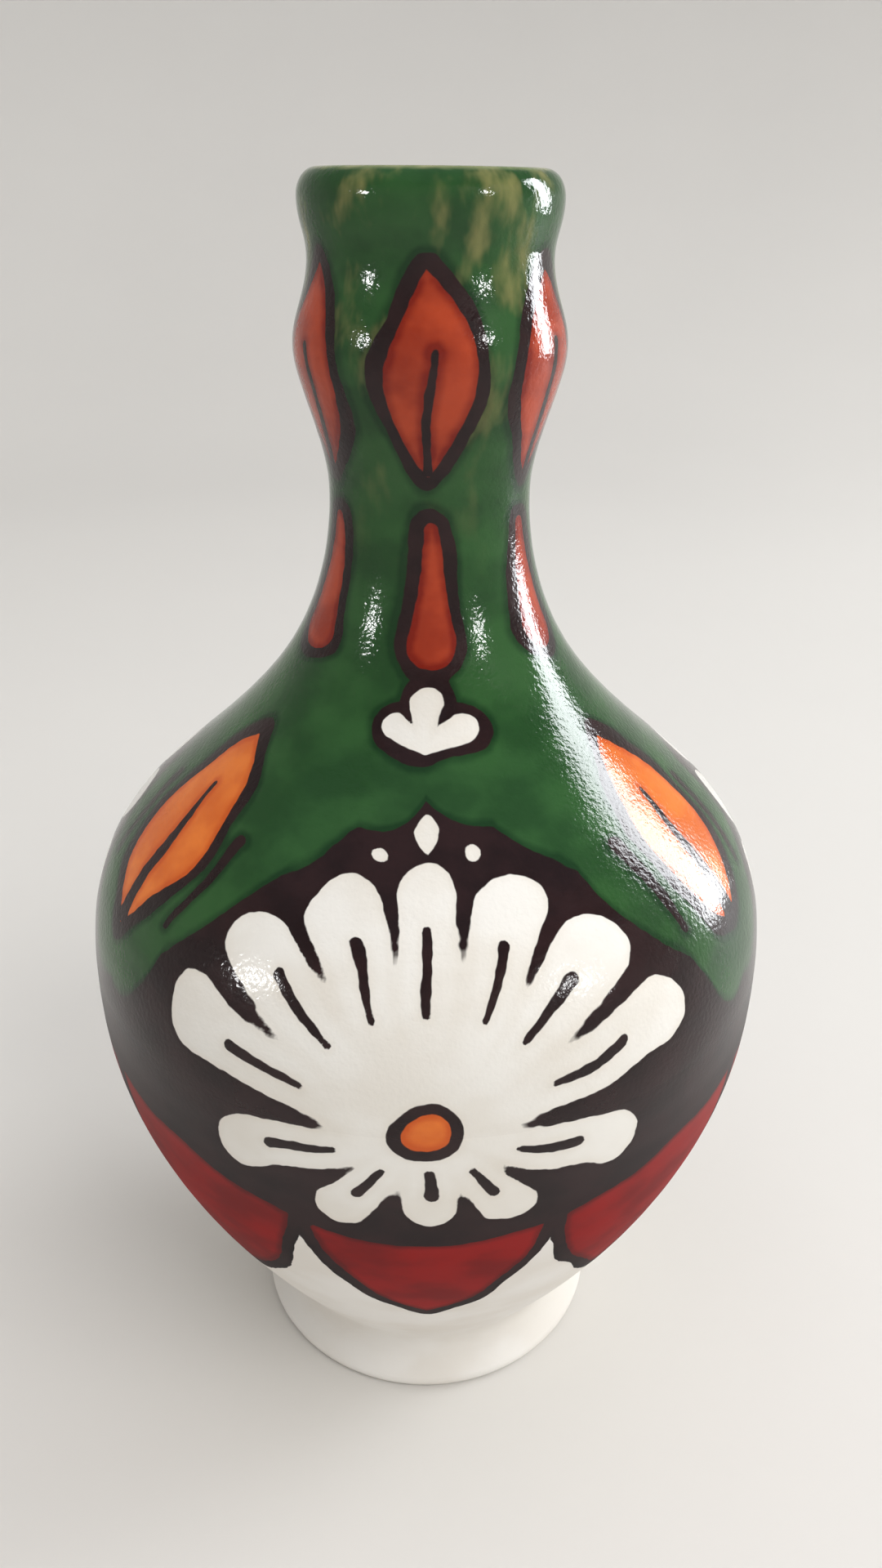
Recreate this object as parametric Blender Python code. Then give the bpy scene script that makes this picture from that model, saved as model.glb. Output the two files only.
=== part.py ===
"""A glazed earthenware bottle vase, made the way a potter builds one too tall to throw whole.

Five sections are thrown and turned separately, then luted together with slip: a flared foot
ring, the bowl with the floor, the shoulder, the neck and the mouth. Each upper section sits
over a stepped spigot on the one below it, so the wall runs on smoothly outside and inside.

Metres, +Z up. The origin is on the table, under the centre of the foot.
"""

import math
from typing import NamedTuple

import bmesh
import bpy
import numpy as np
from mathutils import Vector
from mathutils.geometry import interpolate_bezier

# Heights, stacked from the table up to the lip
FOOT_HEIGHT = 0.0110
BOWL_HEIGHT = 0.0776
SHOULDER_HEIGHT = 0.0495
NECK_HEIGHT = 0.0364
BULGE_RISE = 0.0211
THROAT_RISE = 0.0126
LIP_RISE = 0.0079
LIP_CREST = 0.0039

# Radii of the outer wall at each turning point, and how far the lip rolls inward to its crest
FOOT_SEAT_RADIUS = 0.0320
BELLY_RADIUS = 0.0623
NECK_ROOT_RADIUS = 0.0308
WAIST_RADIUS = 0.0162
BULGE_RADIUS = 0.0212
THROAT_RADIUS = 0.0186
LIP_RADIUS = 0.0198
LIP_ROLL = 0.0031

# Lean of the wall from upright, outward going up
BOWL_LEAN = math.radians(34.4)
NECK_ROOT_LEAN = math.radians(-43.4)

# Fullness: how far the wall keeps its direction past a turning point, as a share of the height
# to the next one
BOWL_FULLNESS = 0.69
BELLY_FULLNESS_BELOW = 0.155
BELLY_FULLNESS_ABOVE = 0.587
NECK_ROOT_FULLNESS_BELOW = 0.53
NECK_ROOT_FULLNESS_ABOVE = 0.18
WAIST_FULLNESS_BELOW = 0.555
WAIST_FULLNESS_ABOVE = 0.28
BULGE_FULLNESS_BELOW = 0.21
BULGE_FULLNESS_ABOVE = 0.32
THROAT_FULLNESS_BELOW = 0.35
THROAT_FULLNESS_ABOVE = 0.36
LIP_FULLNESS = 0.45

# Thickness of the clay, and how far up the wall the floor sweeps into it inside
WALL = 0.0045
FLOOR = 0.0055
FLOOR_SWEEP = 0.0160
FLOOR_FLATNESS = 0.5

# Foot ring: its flare at the table, the width of its seat and its rounded edges
FOOT_FLARE = 0.0034
FOOT_FLARE_LEAN = math.radians(32.0)
FOOT_FULLNESS_ABOVE = 0.5
FOOT_FULLNESS_BELOW = 0.33
FOOT_SEAT_WIDTH = 0.0065
FOOT_EDGE = 0.0016

# Joints between sections: the spigot's length, the centring boss and the gap for the slip
SPIGOT = 0.0050
BOSS = 0.0025
LUTE = 0.0003

# Fineness of the turned surfaces
SIDES = 56
CURVE_POINTS = 64
BODY_STEP = 0.0080
MOUTH_STEP = 0.0030
INSIDE_COARSENESS = 1.5
ARC_STEPS = 4
LIP_STEPS = 5
SHARP_EDGE = math.radians(35.0)
WELD = 1e-6


class Station(NamedTuple):
    """A turning point of the outer wall, with its fullness towards the ones below and above."""

    radius: float
    height: float
    lean: float
    full_below: float
    full_above: float


BELLY_HEIGHT = FOOT_HEIGHT + BOWL_HEIGHT
NECK_ROOT_HEIGHT = BELLY_HEIGHT + SHOULDER_HEIGHT
WAIST_HEIGHT = NECK_ROOT_HEIGHT + NECK_HEIGHT
BULGE_HEIGHT = WAIST_HEIGHT + BULGE_RISE
THROAT_HEIGHT = BULGE_HEIGHT + THROAT_RISE
LIP_HEIGHT = THROAT_HEIGHT + LIP_RISE

STATIONS = {
    "foot_seat": Station(FOOT_SEAT_RADIUS, FOOT_HEIGHT, BOWL_LEAN, 0.0, BOWL_FULLNESS),
    "belly": Station(
        BELLY_RADIUS, BELLY_HEIGHT, 0.0, BELLY_FULLNESS_BELOW, BELLY_FULLNESS_ABOVE
    ),
    "neck_root": Station(
        NECK_ROOT_RADIUS,
        NECK_ROOT_HEIGHT,
        NECK_ROOT_LEAN,
        NECK_ROOT_FULLNESS_BELOW,
        NECK_ROOT_FULLNESS_ABOVE,
    ),
    "waist": Station(
        WAIST_RADIUS, WAIST_HEIGHT, 0.0, WAIST_FULLNESS_BELOW, WAIST_FULLNESS_ABOVE
    ),
    "bulge": Station(
        BULGE_RADIUS, BULGE_HEIGHT, 0.0, BULGE_FULLNESS_BELOW, BULGE_FULLNESS_ABOVE
    ),
    "throat": Station(
        THROAT_RADIUS, THROAT_HEIGHT, 0.0, THROAT_FULLNESS_BELOW, THROAT_FULLNESS_ABOVE
    ),
    "lip": Station(LIP_RADIUS, LIP_HEIGHT, 0.0, LIP_FULLNESS, 0.0),
}


def clear_scene():
    """Remove every object, so that only the vase is left."""
    for thing in list(bpy.data.objects):
        bpy.data.objects.remove(thing, do_unlink=True)


def glaze(name, colour, roughness):
    """Return a glaze: a fired, non-metallic coating of one colour."""
    material = bpy.data.materials.new(name)
    material.use_nodes = True
    shader = material.node_tree.nodes["Principled BSDF"]
    shader.inputs["Base Color"].default_value = (*colour, 1.0)
    shader.inputs["Roughness"].default_value = roughness
    shader.inputs["Metallic"].default_value = 0.0
    return material


def curve(start, start_handle, end_handle, end, count):
    """Return points of a cubic curve in the radius and height plane, both ends included."""
    knots = [Vector(point) for point in (start, start_handle, end_handle, end)]
    return np.array([point[:2] for point in interpolate_bezier(*knots, count)])


def arc(centre, across, up, first, last, steps):
    """Return points of an elliptical arc with half axes across and up, between two angles."""
    angles = np.linspace(first, last, steps + 1)
    return np.column_stack((centre[0] + across * np.cos(angles), centre[1] + up * np.sin(angles)))


class WallLine:
    """The outer face of the pot from the foot seat to the lip, measured along the clay."""

    def __init__(self, stations):
        """Join the stations with cubic curves that share a direction at each station."""
        names = list(stations)
        spans = [np.array([stations[names[0]][:2]])]
        self.reach = {names[0]: 0.0}
        total = 0.0
        for low_name, high_name in zip(names, names[1:]):
            low = stations[low_name]
            high = stations[high_name]
            rise = high.height - low.height
            low_point = np.array(low[:2])
            high_point = np.array(high[:2])
            low_handle = low_point + rise * low.full_above * heading(low.lean)
            high_handle = high_point - rise * high.full_below * heading(high.lean)
            span = curve(low_point, low_handle, high_handle, high_point, CURVE_POINTS)
            total += np.linalg.norm(np.diff(span, axis=0), axis=1).sum()
            self.reach[high_name] = total
            spans.append(span[1:])
        self.points = np.vstack(spans)
        lengths = np.linalg.norm(np.diff(self.points, axis=0), axis=1)
        self.lengths = np.concatenate(([0.0], np.cumsum(lengths)))
        tangents = np.gradient(self.points, self.lengths, axis=0)
        tangents /= np.linalg.norm(tangents, axis=1)[:, None]
        self.inward = np.column_stack((-tangents[:, 1], tangents[:, 0]))

    def run(self, first, last, depth, step):
        """Return points at a depth under the outer face, from one reach to another."""
        steps = max(1, math.ceil(abs(last - first) / step))
        wanted = np.linspace(first, last, steps + 1)
        placed = self.points + depth * self.inward
        return np.column_stack([np.interp(wanted, self.lengths, placed[:, k]) for k in (0, 1)])


def heading(lean):
    """Return the direction of a wall that leans outward from upright by an angle."""
    return np.array((math.sin(lean), math.cos(lean)))


def turned(name, profile, closed, material):
    """Spin a profile in the XZ plane round the Z axis into one solid.

    A closed profile gives a ring. An open one starts and ends on the axis.
    """
    mesh = bpy.data.meshes.new(name)
    form = bmesh.new()
    points = [form.verts.new((radius, 0.0, height)) for radius, height in profile]
    edges = [form.edges.new(pair) for pair in zip(points, points[1:])]
    if closed:
        edges.append(form.edges.new((points[-1], points[0])))
    bmesh.ops.spin(
        form,
        geom=points + edges,
        cent=(0.0, 0.0, 0.0),
        axis=(0.0, 0.0, 1.0),
        angle=math.tau,
        steps=SIDES,
    )
    bmesh.ops.remove_doubles(form, verts=form.verts, dist=WELD)
    bmesh.ops.recalc_face_normals(form, faces=form.faces)
    form.to_mesh(mesh)
    form.free()
    mesh.shade_smooth()
    mesh.set_sharp_from_angle(angle=SHARP_EDGE)
    mesh.materials.append(material)
    section = bpy.data.objects.new(name, mesh)
    bpy.context.scene.collection.objects.link(section)
    return section


def spigot(wall, joint, step):
    """Return the male half of a joint: the inner half of the wall stands up past the outer half."""
    half = (WALL + LUTE) / 2
    return wall.run(joint, joint + SPIGOT, half, step)


def socket(wall, joint, step):
    """Return the female half of a joint, from inside to outside, a slip gap away from the spigot."""
    half = (WALL - LUTE) / 2
    return wall.run(joint + SPIGOT + LUTE, joint + LUTE, half, step)


def inside(wall, top, bottom, step):
    """Return the inner face of the wall, going down."""
    return wall.run(top, bottom, WALL, step * INSIDE_COARSENESS)


def foot_ring():
    """Make the flared ring that the vase stands on, open underneath."""
    top = FOOT_HEIGHT - LUTE
    bore = FOOT_SEAT_RADIUS - FOOT_SEAT_WIDTH
    edge_centre = (FOOT_SEAT_RADIUS + FOOT_FLARE - FOOT_EDGE, FOOT_EDGE)
    outer_edge = arc(edge_centre, FOOT_EDGE, FOOT_EDGE, FOOT_FLARE_LEAN, -math.pi / 2, ARC_STEPS)
    flare_end = outer_edge[0]
    rise = top - flare_end[1]
    flare = curve(
        (FOOT_SEAT_RADIUS, top),
        (FOOT_SEAT_RADIUS, top - rise * FOOT_FULLNESS_ABOVE),
        flare_end + rise * FOOT_FULLNESS_BELOW * heading(-FOOT_FLARE_LEAN),
        flare_end,
        ARC_STEPS + 2,
    )
    inner_centre = (bore + FOOT_EDGE, FOOT_EDGE)
    inner_edge = arc(inner_centre, FOOT_EDGE, FOOT_EDGE, -math.pi / 2, -math.pi, ARC_STEPS - 1)
    profile = np.vstack((flare[:-1], outer_edge, inner_edge, [(bore, top)]))
    cream = glaze("cream_slip", (0.72, 0.68, 0.62), 0.32)
    return turned("foot_ring", profile, True, cream)


def bowl(wall):
    """Make the lower body: floor, centring boss for the foot ring, wall and spigot."""
    boss_radius = FOOT_SEAT_RADIUS - FOOT_SEAT_WIDTH - LUTE
    boss_base = FOOT_HEIGHT - BOSS
    base = [(0.0, boss_base), (boss_radius, boss_base), (boss_radius, FOOT_HEIGHT)]
    belly = wall.reach["belly"]
    outside = wall.run(0.0, belly, 0.0, BODY_STEP)
    lining = inside(wall, belly + SPIGOT, FLOOR_SWEEP, BODY_STEP)
    floor_height = FOOT_HEIGHT + FLOOR
    sweep = lining[-1]
    wall_way = (lining[-1] - lining[-2]) / np.linalg.norm(lining[-1] - lining[-2])
    floor = curve(
        sweep,
        sweep + (sweep[1] - floor_height) * wall_way,
        (sweep[0] * FLOOR_FLATNESS, floor_height),
        (0.0, floor_height),
        ARC_STEPS + 2,
    )
    profile = np.vstack((base, outside, spigot(wall, belly, BODY_STEP), lining, floor[1:]))
    oxblood = glaze("oxblood_and_cream", (0.17, 0.012, 0.008), 0.24)
    return turned("bowl", profile, False, oxblood)


def ring_section(name, wall, low, high, step, material):
    """Make a section of wall between two stations, with a socket below and a spigot above."""
    bottom = wall.reach[low]
    top = wall.reach[high]
    profile = np.vstack(
        (
            wall.run(bottom + LUTE, top, 0.0, step),
            spigot(wall, top, step),
            inside(wall, top + SPIGOT, bottom + SPIGOT + LUTE, step),
            socket(wall, bottom, step),
        )
    )
    return turned(name, profile, True, material)


def mouth(wall):
    """Make the bulged mouth, whose wall rolls over into a round lip."""
    bottom = wall.reach["waist"]
    top = wall.reach["lip"]
    lip_centre = (LIP_RADIUS - LIP_ROLL, LIP_HEIGHT)
    roll_in = WALL - LIP_ROLL
    profile = np.vstack(
        (
            wall.run(bottom + LUTE, top, 0.0, MOUTH_STEP)[:-1],
            arc(lip_centre, LIP_ROLL, LIP_CREST, 0.0, math.pi / 2, LIP_STEPS),
            arc(lip_centre, roll_in, LIP_CREST, math.pi / 2, math.pi, LIP_STEPS)[1:],
            inside(wall, top, bottom + SPIGOT + LUTE, MOUTH_STEP)[1:],
            socket(wall, bottom, MOUTH_STEP),
        )
    )
    return turned("mouth", profile, True, glaze("bottle_green", (0.028, 0.090, 0.026), 0.12))


def build():
    """Make the five sections, from the table up."""
    clear_scene()
    wall = WallLine(STATIONS)
    leaf_green = glaze("leaf_green", (0.045, 0.115, 0.040), 0.20)
    moss_green = glaze("moss_green", (0.035, 0.100, 0.030), 0.14)
    foot_ring()
    bowl(wall)
    ring_section("shoulder", wall, "belly", "neck_root", BODY_STEP, leaf_green)
    ring_section("neck", wall, "neck_root", "waist", BODY_STEP, moss_green)
    mouth(wall)


build()
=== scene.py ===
"""Looks of a hand-painted, glazed earthenware bottle vase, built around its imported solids.

The five thrown sections are made again as fine surfaces of revolution, worked out with numpy.
They meet on shared rings with shared normals, so the fired glaze runs over every joint. The
painted ornament is a set of distances to brush outlines, kept on the vertices, which the glaze
material turns into pigments, outlines and pooled edges.

Metres, +Z up, azimuth 0 at the front (-Y) and growing towards +X.
"""

from __future__ import annotations

import logging
import math
from dataclasses import dataclass
from enum import Enum

import bpy
import numpy as np
from mathutils import Matrix, Vector


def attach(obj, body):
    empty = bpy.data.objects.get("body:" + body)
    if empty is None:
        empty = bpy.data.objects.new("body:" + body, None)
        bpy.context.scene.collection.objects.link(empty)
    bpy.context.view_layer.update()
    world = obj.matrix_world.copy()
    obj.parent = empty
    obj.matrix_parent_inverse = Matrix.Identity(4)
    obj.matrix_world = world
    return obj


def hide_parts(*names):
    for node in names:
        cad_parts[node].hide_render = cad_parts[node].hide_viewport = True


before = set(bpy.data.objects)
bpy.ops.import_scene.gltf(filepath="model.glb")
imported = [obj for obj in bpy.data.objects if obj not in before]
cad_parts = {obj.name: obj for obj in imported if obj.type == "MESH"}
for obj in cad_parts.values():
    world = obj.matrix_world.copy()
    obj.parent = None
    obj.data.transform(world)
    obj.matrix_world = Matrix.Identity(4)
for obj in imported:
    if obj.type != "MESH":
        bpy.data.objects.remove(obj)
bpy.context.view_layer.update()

LOG = logging.getLogger("vase")

Array = np.ndarray
Colour = tuple[float, float, float]
Point = tuple[float, float, float]
Place = tuple[float, float]
Span = tuple[float, float]
Socket = bpy.types.NodeSocket

# A distance from a painted edge that is past everything on the pot
FAR = 1.0

# Places of the colour sockets on a Mix node, which has a set for each kind of value
MIX_FIRST = 6
MIX_SECOND = 7
MIX_RESULT = 2


class Paint(Enum):
    """Areas of the surface, each kept on the vertices as a signed distance, negative inside."""

    GROUND = "brown_ground"
    GREEN = "leaf_green"
    CREAM = "cream_slip"
    RED = "oxblood"
    RUST = "rust"
    ORANGE = "orange"
    # Pale band along the lip's crest: thin glaze there, and partly a painted highlight on the lip's
    # edge
    RIM = "thin_rim"
    CLAY = "bare_clay"


class Seam(Enum):
    """Turning points of the outer line where thrown sections meet, or where it ends."""

    FOOT = "foot_seat"
    BELLY = "belly"
    NECK_ROOT = "neck_root"
    WAIST = "waist"
    LIP = "lip"


def srgb(red: int, green: int, blue: int) -> Colour:
    """Return a colour given in display values of 0 to 255 as linear light, by the sRGB curve.

    Args:
        red: Display value of red.
        green: Display value of green.
        blue: Display value of blue.

    Returns:
        The three linear values.
    """
    display = np.array((red, green, blue)) / 255.0
    linear = np.where(display <= 0.04045, display / 12.92, ((display + 0.055) / 1.055) ** 2.4)
    return tuple(float(value) for value in linear)


def smooth_step(value: Array, low: float, high: float) -> Array:
    """Return 0 below low, 1 above high and a smooth cubic between: 3t squared less 2t cubed."""
    share = np.clip((value - low) / (high - low), 0.0, 1.0)
    return share * share * (3.0 - 2.0 * share)


def ripples(places: Array, wavelength: float, seed: int, waves: int = 14) -> Array:
    """Return a smooth, seeded unevenness in space, about -1 to 1.

    It is the sum of plane sine waves of one wavelength in scattered directions, scaled to a
    standard deviation of one half.

    Args:
        places: Points, with x, y and z on the last axis.
        wavelength: Length of every wave.
        seed: Seed of the directions and phases.
        waves: How many waves are added.

    Returns:
        One value for each point.
    """
    draw = np.random.default_rng(seed)
    ways = draw.normal(size=(waves, 3))
    ways *= math.tau / wavelength / np.linalg.norm(ways, axis=1)[:, None]
    phases = draw.uniform(0.0, math.tau, waves)
    return np.sin(places @ ways.T + phases).sum(axis=-1) * math.sqrt(2.0 / waves) / 2.0


def lengths_along(points: Array) -> Array:
    """Return each point's way along a row of points, from the first."""
    steps = np.linalg.norm(np.diff(points, axis=0), axis=1)
    return np.concatenate(([0.0], np.cumsum(steps)))


def cubic(start: Array, leaving: Array, arriving: Array, end: Array, count: int) -> Array:
    """Return points on a cubic curve: four points weighted by the terms of share and rest cubed.

    Args:
        start: First point.
        leaving: Control point that sets the way out of the start.
        arriving: Control point that sets the way into the end.
        end: Last point.
        count: How many points are wanted.

    Returns:
        Radius and height of each point.
    """
    share = np.linspace(0.0, 1.0, count)[:, None]
    rest = 1.0 - share
    return (
        rest**3 * start
        + 3.0 * rest**2 * share * leaving
        + 3.0 * rest * share**2 * arriving
        + share**3 * end
    )


def round_axis(outward: Array, azimuth: Array, upward: Array) -> Array:
    """Return points or normals from their parts away from the axis and up, at each azimuth."""
    outward, azimuth, upward = np.broadcast_arrays(outward, azimuth, upward)
    return np.stack((outward * np.sin(azimuth), -outward * np.cos(azimuth), upward), axis=-1)


def smooth_mesh(name: str, points: Array, faces: list[list[int]]) -> bpy.types.Mesh:
    """Return a smooth shaded mesh.

    Args:
        name: Its name.
        points: Vertices.
        faces: Vertex numbers of each face.

    Returns:
        The mesh.
    """
    made = bpy.data.meshes.new(name)
    made.from_pydata(points.tolist(), [], faces)
    made.polygons.foreach_set("use_smooth", np.ones(len(made.polygons), bool))
    return made


def shown(name: str, data: bpy.types.ID) -> bpy.types.Object:
    """Return a new object of the scene that shows a mesh, light or camera.

    Args:
        name: Its name.
        data: What it shows.

    Returns:
        The object, at the origin.
    """
    made = bpy.data.objects.new(name, data)
    bpy.context.scene.collection.objects.link(made)
    return made


@dataclass(frozen=True)
class Turn:
    """A turning point of the outer line: its place, its leans and its fullness both ways.

    A lean is measured from upright, outward going up. A fullness is how far the wall keeps its
    direction, as a share of the height to the next turning point.
    """

    name: str
    radius: float
    height: float
    lean_below: float = 0.0
    lean_above: float = 0.0
    full_below: float = 0.0
    full_above: float = 0.0
    softness: float = 0.0

    @property
    def point(self) -> Array:
        """Radius and height."""
        return np.array((self.radius, self.height))

    def handle(self, lean: float, length: float) -> Array:
        """Return the control point at a length from here along a lean."""
        return self.point + length * np.array((math.sin(lean), math.cos(lean)))


FOOT_EDGE = 0.0016
FOOT_RADIUS = 0.0354
FOOT_LEAN = math.radians(32.0)
BOWL_LEAN = math.radians(34.4)
NECK_ROOT_LEAN = math.radians(-43.4)

OUTLINE = (
    Turn(
        "foot_edge",
        radius=FOOT_RADIUS - FOOT_EDGE * (1.0 - math.cos(FOOT_LEAN)),
        height=FOOT_EDGE * (1.0 + math.sin(FOOT_LEAN)),
        lean_above=-FOOT_LEAN,
        full_above=0.33,
    ),
    Turn(
        "foot_seat",
        radius=0.0320,
        height=0.0110,
        lean_above=BOWL_LEAN,
        full_below=0.5,
        full_above=0.69,
        softness=0.0030,
    ),
    Turn("belly", 0.0623, 0.0886, full_below=0.155, full_above=0.587, softness=0.0030),
    Turn(
        "neck_root",
        radius=0.0308,
        height=0.1381,
        lean_below=NECK_ROOT_LEAN,
        lean_above=NECK_ROOT_LEAN,
        full_below=0.53,
        full_above=0.18,
        softness=0.0030,
    ),
    Turn("waist", 0.0162, 0.1745, full_below=0.555, full_above=0.28, softness=0.0024),
    Turn("bulge", 0.0213, 0.1956, full_below=0.21, full_above=0.32, softness=0.0014),
    Turn("throat", 0.0185, 0.2082, full_below=0.35, full_above=0.36, softness=0.0012),
    Turn("lip", 0.0198, 0.2161, full_below=0.45),
)


@dataclass
class OuterLine:
    """The outer face from the foot's edge to the lip, measured along its length.

    Attributes:
        turns: Turning points, from the foot up.
        sample: Spacing of the points on the line.
        span_points: Points on the curve between two turning points.
        bell_reach: How far a softened bend is averaged, in widths of its bell.
        soft_reach: How far the softening fades away from the bend, in widths.
        end_reach: Length at both ends where it fades too, in widths.
    """

    turns: tuple[Turn, ...] = OUTLINE
    sample: float = 0.00005
    span_points: int = 400
    bell_reach: float = 4.0
    soft_reach: float = 3.5
    end_reach: float = 2.0

    def __post_init__(self) -> None:
        """Join the turning points with cubic curves and even out the bend at each."""
        spans = [self.turns[0].point[None]]
        total = 0.0
        self.reaches = {self.turns[0].name: total}
        for low, high in zip(self.turns, self.turns[1:]):
            span = self.span(low, high)
            total += lengths_along(span)[-1]
            self.reaches[high.name] = total
            spans.append(span[1:])
        rough = np.vstack(spans)
        ways = lengths_along(rough)
        self.lengths = np.linspace(0.0, total, int(total / self.sample) + 1)
        self.line = np.column_stack([np.interp(self.lengths, ways, part) for part in rough.T])
        for turn in self.turns:
            if turn.softness:
                self.soften(self.reaches[turn.name], turn.softness)
        slopes = np.gradient(self.line, self.lengths, axis=0)
        slopes /= np.linalg.norm(slopes, axis=1)[:, None]
        self.outward = np.column_stack((slopes[:, 1], -slopes[:, 0]))
        self.map_height()

    @property
    def belly_radius(self) -> float:
        """Radius of the pot at its widest."""
        return self.turn(Seam.BELLY).radius

    def turn(self, seam: Seam) -> Turn:
        """Return the turning point at a seam."""
        return next(turn for turn in self.turns if turn.name == seam.value)

    def reach(self, seam: Seam) -> float:
        """Return how far along the line a seam lies."""
        return self.reaches[seam.value]

    def span(self, low: Turn, high: Turn) -> Array:
        """Return a cubic curve between two turning points, leaving each along its lean.

        Args:
            low: The lower turning point.
            high: The upper turning point.

        Returns:
            Radius and height of points along the curve.
        """
        rise = high.height - low.height
        leaving = low.handle(low.lean_above, rise * low.full_above)
        arriving = high.handle(high.lean_below, -rise * high.full_below)
        return cubic(low.point, leaving, arriving, high.point, self.span_points)

    def soften(self, place: float, softness: float) -> None:
        """Even out the bend at a place: each point moves to a bell-weighted mean near it.

        Args:
            place: Reach of the place along the line.
            softness: Width of the bell.
        """
        half = int(self.bell_reach * softness / self.sample)
        offsets = np.arange(-half, half + 1) * self.sample
        weights = np.exp(-0.5 * (offsets / softness) ** 2)
        weights /= weights.sum()
        share = np.exp(-(((self.lengths - place) / (self.soft_reach * softness)) ** 2))
        share *= smooth_step(self.lengths, 0.0, self.end_reach * softness)
        share *= smooth_step(self.lengths[-1] - self.lengths, 0.0, self.end_reach * softness)
        for part in self.line.T:
            padded = np.pad(part, half, mode="reflect", reflect_type="odd")
            part += share * (np.convolve(padded, weights, mode="valid") - part)

    def map_height(self) -> None:
        """Work out the map height, which grows by length over radius so that shapes keep true.

        With the belly's azimuth length across, it gives a map of the pot without distortion of
        angles, at full scale on the belly.
        """
        growth = self.belly_radius / self.line[:, 0]
        steps = 0.5 * (growth[1:] + growth[:-1]) * np.diff(self.lengths)
        heights = np.concatenate(([0.0], np.cumsum(steps)))
        self.heights = heights - np.interp(self.reach(Seam.BELLY), self.lengths, heights)

    def reach_at(self, height: float) -> float:
        """Return the reach of the outer face at a height above the table."""
        return float(np.interp(height, self.line[:, 1], self.lengths))

    def read(self, reach: Array, values: Array) -> Array:
        """Return columns of values along the line, read off at each reach."""
        return np.column_stack([np.interp(reach, self.lengths, part) for part in values.T])

    def outward_at(self, reach: Array) -> Array:
        """Return the outward normal, as radius and height parts, at each reach."""
        return self.read(reach, self.outward)

    def profile(self, reach: Array, depth: float = 0.0) -> Array:
        """Return radius and height at a depth under the outer face, carried on past both ends.

        Args:
            reach: Lengths along the line.
            depth: Distance inward along the normal.

        Returns:
            Radius and height for each length.
        """
        inside = np.clip(reach, 0.0, self.lengths[-1])
        over = reach - inside
        away = self.outward_at(reach)
        along = np.column_stack((-away[:, 1], away[:, 0]))
        return self.read(inside, self.line) - depth * away + over[:, None] * along


@dataclass(frozen=True)
class Dot:
    """A round painted dot."""

    centre: Place
    radius: float

    def distance(self, across: Array, up: Array) -> Array:
        """Return signed distances to the dot's edge, negative inside."""
        return np.hypot(across - self.centre[0], up - self.centre[1]) - self.radius


@dataclass(frozen=True)
class Petal:
    """A brush stroke: two round ends of unlike radius and their common tangents.

    Attributes:
        base: Centre of the round base.
        turn: Turn from upright, in degrees.
        length: Distance from the base's centre to the tip's centre.
        base_radius: Radius of the base.
        tip_radius: Radius of the tip.
    """

    base: Place
    turn: float
    length: float
    base_radius: float
    tip_radius: float

    def distance(self, across: Array, up: Array) -> Array:
        """Return signed distances to the stroke's edge, negative inside.

        Args:
            across: Map positions across.
            up: Map positions up.

        Returns:
            The distance to the nearer round end, or to the tangent between them.
        """
        sine = math.sin(math.radians(self.turn))
        cosine = math.cos(math.radians(self.turn))
        east = across - self.base[0]
        north = up - self.base[1]
        aside = np.abs(east * cosine - north * sine)
        along = east * sine + north * cosine
        taper = (self.base_radius - self.tip_radius) / self.length
        slant = math.sqrt(1.0 - taper * taper)
        place = along * slant - aside * taper
        flank = aside * slant + along * taper - self.base_radius
        flank = np.where(place < 0.0, np.hypot(aside, along) - self.base_radius, flank)
        tip = np.hypot(aside, along - self.length) - self.tip_radius
        return np.where(place > slant * self.length, tip, flank)

    def vein(self, start: float, length: float, base_radius: float, tip_radius: float) -> Petal:
        """Return a thinner stroke along this one.

        Args:
            start: Share of this stroke's length at which the thinner one starts.
            length: Its length, as a share of this one's.
            base_radius: Radius of its base.
            tip_radius: Radius of its tip.

        Returns:
            The thinner stroke.
        """
        way = self.length * start
        east = self.base[0] + way * math.sin(math.radians(self.turn))
        north = self.base[1] + way * math.cos(math.radians(self.turn))
        return Petal((east, north), self.turn, self.length * length, base_radius, tip_radius)


@dataclass(frozen=True)
class Leaf:
    """An upright pointed leaf: the area where two equal circles overlap."""

    centre: Place
    half_length: float
    half_width: float

    def distance(self, across: Array, up: Array) -> Array:
        """Return signed distances to the leaf's edge, negative inside.

        Args:
            across: Map positions across.
            up: Map positions up.

        Returns:
            The distance to the nearer circle's arc, or to the leaf's point past its end.
        """
        half = self.half_length
        radius = (half * half + self.half_width**2) / (2.0 * self.half_width)
        shift = radius - self.half_width
        aside = np.abs(across - self.centre[0])
        along = np.abs(up - self.centre[1])
        past_tip = (along - half) * shift > aside * half
        arc = np.hypot(aside + shift, along) - radius
        return np.where(past_tip, np.hypot(aside, along - half), arc)


Shape = Dot | Petal | Leaf


def merged(first: Array, second: Array, blend: float) -> Array:
    """Return the distance to two shapes run together, with the notch between them rounded.

    The lesser distance is lowered by a quarter of the blend where both are equal, and by a
    square that falls to nothing where they differ by the blend.

    Args:
        first: Signed distances to one shape.
        second: Signed distances to the other.
        blend: Size of the rounding.

    Returns:
        Signed distances, negative inside.
    """
    near = np.maximum(blend - np.abs(first - second), 0.0) / blend
    return np.minimum(first, second) - near * near * blend / 4.0


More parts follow.
